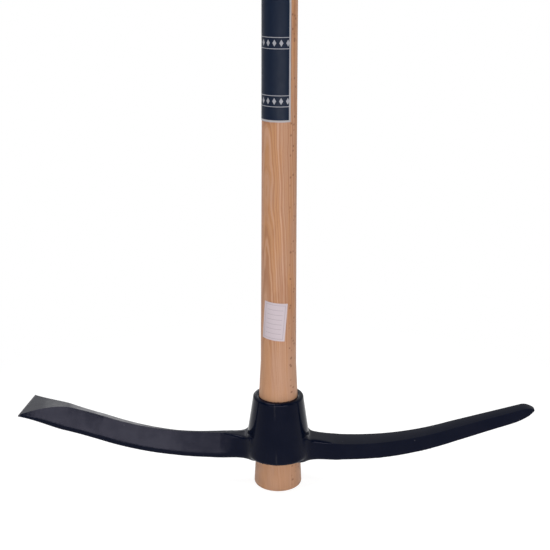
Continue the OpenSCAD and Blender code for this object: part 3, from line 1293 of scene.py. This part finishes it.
@dataclass
class Label:
    """A sheet stuck round the handle."""

    name: str
    node: str
    slot: Slot
    width: float
    height: float
    middle: float
    bearing: float
    tilt: float = 0.0
    thickness: float = 0.2 * MM
    glue: float = 0.12 * MM
    grid: tuple[int, int] = (72, 96)

    def build(self, handle: Piece, form: HandleForm,
              dress: bpy.types.Material) -> Piece:
        """Cuts the sheet, bends it round the handle and sticks it on.

        Args:
            handle: The finished handle.
            form: Sizes of the handle.
            dress: Material of the label.

        Returns:
            The finished label.
        """
        radius = form.radius(self.middle)
        start_clean()
        bpy.ops.mesh.primitive_grid_add(
            x_subdivisions=self.grid[0], y_subdivisions=self.grid[1], size=1, calc_uvs=True)
        label = added(self.name)
        label.scale = (self.width, self.height, 1)
        fix_place(label)
        label.rotation_euler = (math.radians(90), self.tilt, 0)
        fix_place(label)
        apply_modifier(
            label, "SIMPLE_DEFORM", deform_method="BEND", deform_axis="Z",
            angle=label.dimensions.x / radius)
        label.location = (0, -radius, self.middle)
        fix_place(label)
        label.rotation_euler = (0, 0, self.bearing)
        fix_place(label)
        apply_modifier(
            label, "SHRINKWRAP", target=handle, wrap_method="NEAREST_SURFACEPOINT",
            wrap_mode="OUTSIDE_SURFACE", offset=self.glue)
        apply_modifier(label, "SOLIDIFY", thickness=self.thickness, offset=1.0)
        smooth_over(label)
        label.data.materials.append(dress)
        hand_over(label, self.node, Body.HANDLE)
        return label


# Studio

@dataclass(frozen=True)
class Softbox:
    """A studio lamp with a plain white face, which gloss may or may not mirror."""

    name: str
    place: Place
    aim: Place
    width: float
    height: float
    brightness: float
    mirrored: bool = True

    def build(self) -> None:
        """Hangs the lamp and points it."""
        lamp = bpy.data.lights.new(self.name, "AREA")
        lamp.shape = "RECTANGLE"
        lamp.size = self.width
        lamp.size_y = self.height
        lamp.energy = self.brightness * math.pi * self.width * self.height
        holder = bpy.data.objects.new(self.name, lamp)
        holder.visible_glossy = self.mirrored
        bpy.context.scene.collection.objects.link(holder)
        holder.location = self.place
        way = Vector(self.aim) - Vector(self.place)
        holder.rotation_euler = way.to_track_quat("-Z", "Y").to_euler()


@dataclass(frozen=True)
class StudioCamera:
    """Camera at the photograph's viewing angle."""

    place: Place = (12.44 * MM, -1033.93 * MM, 562 * MM)
    look_down: float = math.radians(17.7)
    swing: float = math.radians(0.9)
    roll: float = math.radians(0.17)
    focal_px: float = 1075.0
    frame_px: float = 550.0
    sensor: float = 36.0
    nearest: float = 0.01

    def build(self) -> None:
        """Sets the camera up and makes it the scene's own."""
        lens = bpy.data.cameras.new("studio_camera")
        lens.sensor_width = self.sensor
        lens.lens = self.sensor * self.focal_px / self.frame_px
        lens.clip_start = self.nearest
        camera = bpy.data.objects.new("studio_camera", lens)
        bpy.context.scene.collection.objects.link(camera)
        turn = Matrix.Rotation(self.swing, 4, "Z")
        turn @= Matrix.Rotation(math.pi / 2 - self.look_down, 4, "X")
        turn @= Matrix.Rotation(self.roll, 4, "Z")
        camera.matrix_world = Matrix.Translation(self.place) @ turn
        bpy.context.scene.camera = camera


@dataclass(frozen=True)
class Room:
    """Soft light from the room: a white wall behind the pick and a dim one behind the camera."""

    front: float = 0.03
    back: float = 0.70
    turn: Pair = (-0.4, 0.6)
    tint: Colour = (1.0, 1.0, 1.0)

    def build(self) -> None:
        """Makes the room the scene's world."""
        world = bpy.data.worlds.new("studio_room")
        bench = NodeBench(world)
        direction = bench.node("TexCoord", {}).outputs["Generated"]
        towards_back = bench.axes(direction)[1]
        light = bench.range(towards_back, *self.turn, self.front, self.back)
        sky = bench.tree.nodes["Background"]
        bench.feed(sky.inputs["Strength"], light)
        bench.feed(sky.inputs["Color"], self.tint)
        bpy.context.scene.world = world


@dataclass
class Studio:
    """Pale floor, soft light and camera."""

    floor_size: float = 40.0
    lamps: list[Softbox] = field(default_factory=lambda: [
        Softbox("overhead", (-0.10, -1.10, 1.70), (0, 0, 0.25), 1.4, 1.4, 0.15),
        Softbox("top_left", (-0.40, 0.0, 1.70), (-0.2, 0, 0.08), 0.9, 0.9, 7.0),
        Softbox("low_front", (0.25, -1.25, 0.18), (-0.10, 0, 0.08), 1.36, 0.24, 9.4),
        Softbox("left_front", (-0.72, -1.20, 0.18), (-0.10, 0, 0.08), 0.55, 0.24, 4.0),
        Softbox("right_strip", (1.1, -0.25, 0.45), (0, 0, 0.15), 0.3, 0.9, 1.0),
        Softbox("back_left", (-1.19, 3.0, 1.00), (-0.2, 0, 0.08), 0.38, 0.5, 0.6),
        Softbox("back_step", (-0.92, 3.0, 1.10), (-0.2, 0, 0.08), 0.16, 0.4, 1.4),
        Softbox("back_mid", (-0.505, 3.0, 1.15), (-0.2, 0, 0.08), 0.67, 0.4, 2.2),
        Softbox("back_right", (-0.05, 3.0, 1.00), (-0.2, 0, 0.08), 0.24, 0.46, 4.2),
        Softbox("wood_left", (-0.78, -0.90, 1.60), (0, 0, 0.1), 0.08, 0.08, 160.0, mirrored=False),
        Softbox("wood_right", (0.92, -0.75, 1.60), (0, 0, 0.1), 0.08, 0.08, 260.0, mirrored=False),
    ])

    def build(self) -> None:
        """Lays the floor, hangs the lamps and sets the camera up."""
        bpy.context.scene.view_settings.view_transform = "Standard"
        Room().build()
        start_clean()
        bpy.ops.mesh.primitive_plane_add(size=self.floor_size)
        floor = added("studio_floor")
        floor.data.materials.append(PaleFloor().material())
        for lamp in self.lamps:
            lamp.build()
        StudioCamera().build()


def main() -> None:
    """Builds the studio, the handle, the head and the labels in order."""
    logging.basicConfig(level=logging.INFO, format="%(message)s")
    mounts = {mount["name"]: mount for mount in frame["record"]["mounts"]}
    head_low, head_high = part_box("pick_head")
    form = HandleForm(
        length=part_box("handle")[1][2], grip_radius=mounts["grip"]["dims"]["r_mm"] * MM)
    collar = CollarForm(form)
    Studio().build()
    handle = Handle(form).build()
    Head(
        collar,
        ChiselArm("chisel_arm", collar, reach=-head_low[0], heading=math.pi),
        PointArm("point_arm", collar, reach=head_high[0], heading=0.0),
    ).build()
    wrap_low, wrap_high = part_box("wrap_label")
    wrap_height = wrap_high[2] - wrap_low[2]
    wrap_middle = (wrap_low[2] + wrap_high[2]) / 2
    wrap = Label(
        "wrapped_label", "wrap_label", Slot.FILM, WRAP_WIDTH, wrap_height, wrap_middle,
        bearing=WRAP_EDGE - WRAP_WIDTH / form.radius(wrap_middle) / 2)
    wrap.build(handle, form, Film(WRAP_WIDTH, wrap_height).material())
    stock_low, stock_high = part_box("stock_label")
    stock = Label(
        "stock_label_sheet", "stock_label", Slot.PAPER, *STOCK_SIZE,
        middle=(stock_low[2] + stock_high[2]) / 2, bearing=STOCK_BEARING, tilt=STOCK_TILT,
        grid=STOCK_GRID)
    stock.build(handle, form, Paper(*STOCK_SIZE).material())


if __name__ == "__main__":
    main()
